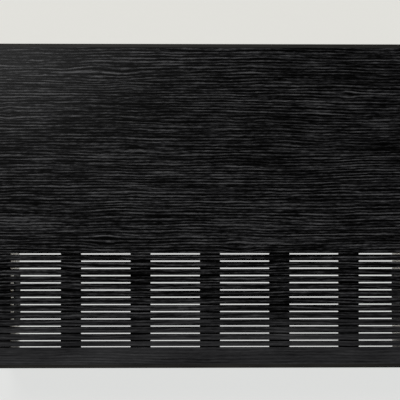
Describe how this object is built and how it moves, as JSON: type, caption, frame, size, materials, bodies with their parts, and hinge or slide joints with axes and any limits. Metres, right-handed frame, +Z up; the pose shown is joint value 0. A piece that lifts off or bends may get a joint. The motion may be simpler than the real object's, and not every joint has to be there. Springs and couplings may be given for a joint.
{
  "type": "amplifier wood case",
  "caption": "Black-stained open-bottomed wood sleeve for a hi-fi amplifier, with mitred corners and a field of long saw-cut vent slots in the top.",
  "frame": {"origin": "middle of the footprint, on the surface that the two side panels stand on", "axes": "+X from the left side panel to the right one, +Y from the front to the rear, +Z up"},
  "size_m": [0.473, 0.359, 0.155],
  "materials": {
    "black_ash": "black-stained ash veneer, satin lacquer with open grain",
    "ash_lipping": "black-stained solid ash, satin lacquer",
    "plywood": "raw birch plywood",
    "softwood": "sawn pine, raw",
    "felt": "pressed wool felt, black",
    "brass": "turned brass"
  },
  "bodies": {
    "root": {"top_panel": "black_ash", "left_side_panel": "black_ash", "right_side_panel": "black_ash", "front_top_lipping": "ash_lipping", "front_left_lipping": "ash_lipping", "front_right_lipping": "ash_lipping", "rear_top_lipping": "ash_lipping", "rear_left_lipping": "ash_lipping", "rear_right_lipping": "ash_lipping", "left_mitre_spline": "plywood", "right_mitre_spline": "plywood", "left_front_glue_block": "softwood", "left_middle_glue_block": "softwood", "right_front_glue_block": "softwood", "right_middle_glue_block": "softwood", "left_front_guide_pad": "felt", "left_rear_guide_pad": "felt", "right_front_guide_pad": "felt", "right_rear_guide_pad": "felt", "threaded_inserts": "brass"}
  },
  "joints": []
}
